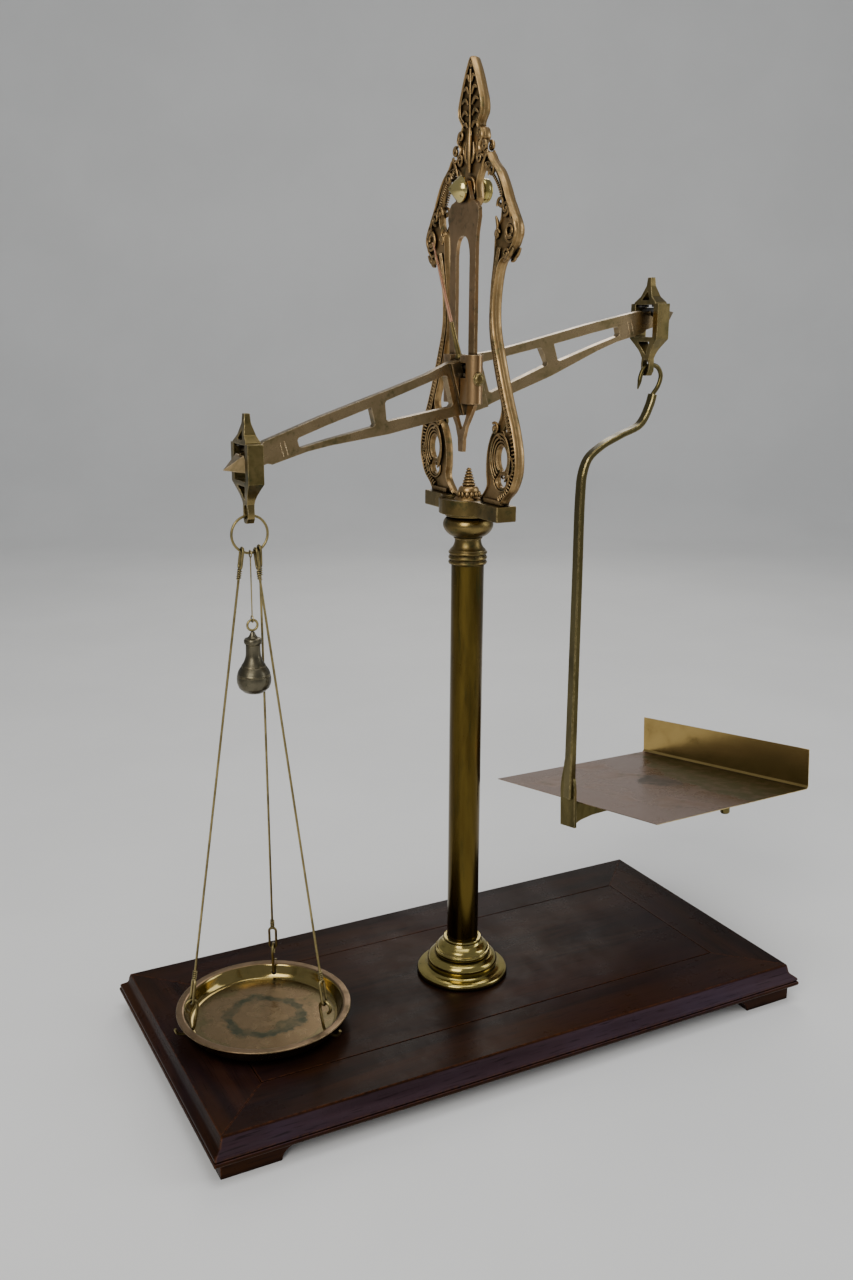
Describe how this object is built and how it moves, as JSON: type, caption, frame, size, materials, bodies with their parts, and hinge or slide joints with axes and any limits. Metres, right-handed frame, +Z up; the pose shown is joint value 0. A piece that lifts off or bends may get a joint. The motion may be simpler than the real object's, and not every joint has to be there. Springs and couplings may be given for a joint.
{
  "type": "beam scale",
  "caption": "Counter beam scale: turned column on a mahogany base, pierced lyre frame, hung tilting beam, pan on wire stays and hooked goods plate",
  "frame": {"origin": "on the ground under the middle of the whole object", "axes": "+Z up, +X along the base from the weights pan to the goods plate, +Y across the base towards the back"},
  "size_m": [0.5558, 0.253, 0.7389],
  "materials": {
    "mahogany": "dark polished hardwood, rubbed lighter at the edges",
    "brass": "old polished brass, tarnished in patches",
    "bronze": "brown tarnished cast brass",
    "steel": "dark hardened steel",
    "copper": "copper-coloured drawn wire"
  },
  "bodies": {
    "stand": {"base_panel": "mahogany", "base_rail_back": "mahogany", "base_rail_front": "mahogany", "base_rail_left": "mahogany", "base_rail_right": "mahogany", "capital": "bronze", "column_foot": "brass", "column_tube": "brass", "foot_back_left": "mahogany", "foot_back_right": "mahogany", "foot_front_left": "mahogany", "foot_front_right": "mahogany", "frame_screw_back": "steel", "frame_screw_front": "steel", "lyre_frame": "bronze", "pin_collar": "steel", "pin_nut": "brass", "rod_nut": "steel", "rod_washer": "steel", "tie_rod": "steel", "top_pin": "brass", "yoke": "bronze", "yoke_finial": "bronze"},
    "shears": {"shears": "bronze", "bearing_steel_front": "steel", "bearing_steel_back": "steel", "bearing_screw_front": "brass", "bearing_screw_back": "brass"},
    "beam": {"beam": "bronze", "knife_centre": "steel", "knife_left": "steel", "knife_right": "steel", "pointer_stem": "brass", "pointer_needle": "copper"},
    "left_shackle": {"shackle_left": "bronze", "shackle_steel_left_front": "steel", "shackle_steel_left_back": "steel"},
    "right_shackle": {"shackle_right": "bronze", "shackle_steel_right_front": "steel", "shackle_steel_right_back": "steel"},
    "pan_hanger": {"hanging_ring": "brass", "weights_pan": "brass", "stay_left": "brass", "stay_front": "brass", "stay_back": "brass", "pan_hook_left": "brass", "pan_hook_front": "brass", "pan_hook_back": "brass"},
    "bob": {"bob": "brass", "bob_cap": "brass", "bob_eye": "brass", "bob_wire": "brass"},
    "goods_hanger": {"plate_hanger": "brass", "goods_plate": "brass", "plate_fork": "brass", "fork_stud_front": "brass", "fork_stud_back": "brass"}
  },
  "joints": [
    {"name": "shears_swing", "type": "hinge", "parent": "stand", "child": "shears", "pos_m": [-0.0263, 0, 0.6505], "axis": [1, 0, 0], "range_deg": [-1, 1]},
    {"name": "beam_tilt", "type": "hinge", "parent": "shears", "child": "beam", "pos_m": [-0.0263, 0, 0.523], "axis": [0, 1, 0], "range_deg": [0, 31.8]},
    {"name": "left_knife", "type": "hinge", "parent": "beam", "child": "left_shackle", "pos_m": [-0.19557, 0, 0.47478], "axis": [0, 1, 0], "range_deg": [-31.8, 0]},
    {"name": "right_knife", "type": "hinge", "parent": "beam", "child": "right_shackle", "pos_m": [0.14297, 0, 0.57122], "axis": [0, 1, 0], "range_deg": [-31.8, 0]},
    {"name": "pan_turn", "type": "hinge", "parent": "left_shackle", "child": "pan_hanger", "pos_m": [-0.19557, 0, 0.42778], "axis": [0, 0, 1], "range_deg": [-20, 20]},
    {"name": "bob_swing", "type": "hinge", "parent": "pan_hanger", "child": "bob", "pos_m": [-0.19557, 0, 0.40118], "axis": [0, 1, 0], "range_deg": [-2, 2]},
    {"name": "goods_swing", "type": "hinge", "parent": "right_shackle", "child": "goods_hanger", "pos_m": [0.14297, 0, 0.52402], "axis": [0, 1, 0], "range_deg": [-3, 3]}
  ],
  "couplings": [
    {"joint": "left_knife", "follows": "beam_tilt", "ratio": -1},
    {"joint": "right_knife", "follows": "beam_tilt", "ratio": -1}
  ]
}
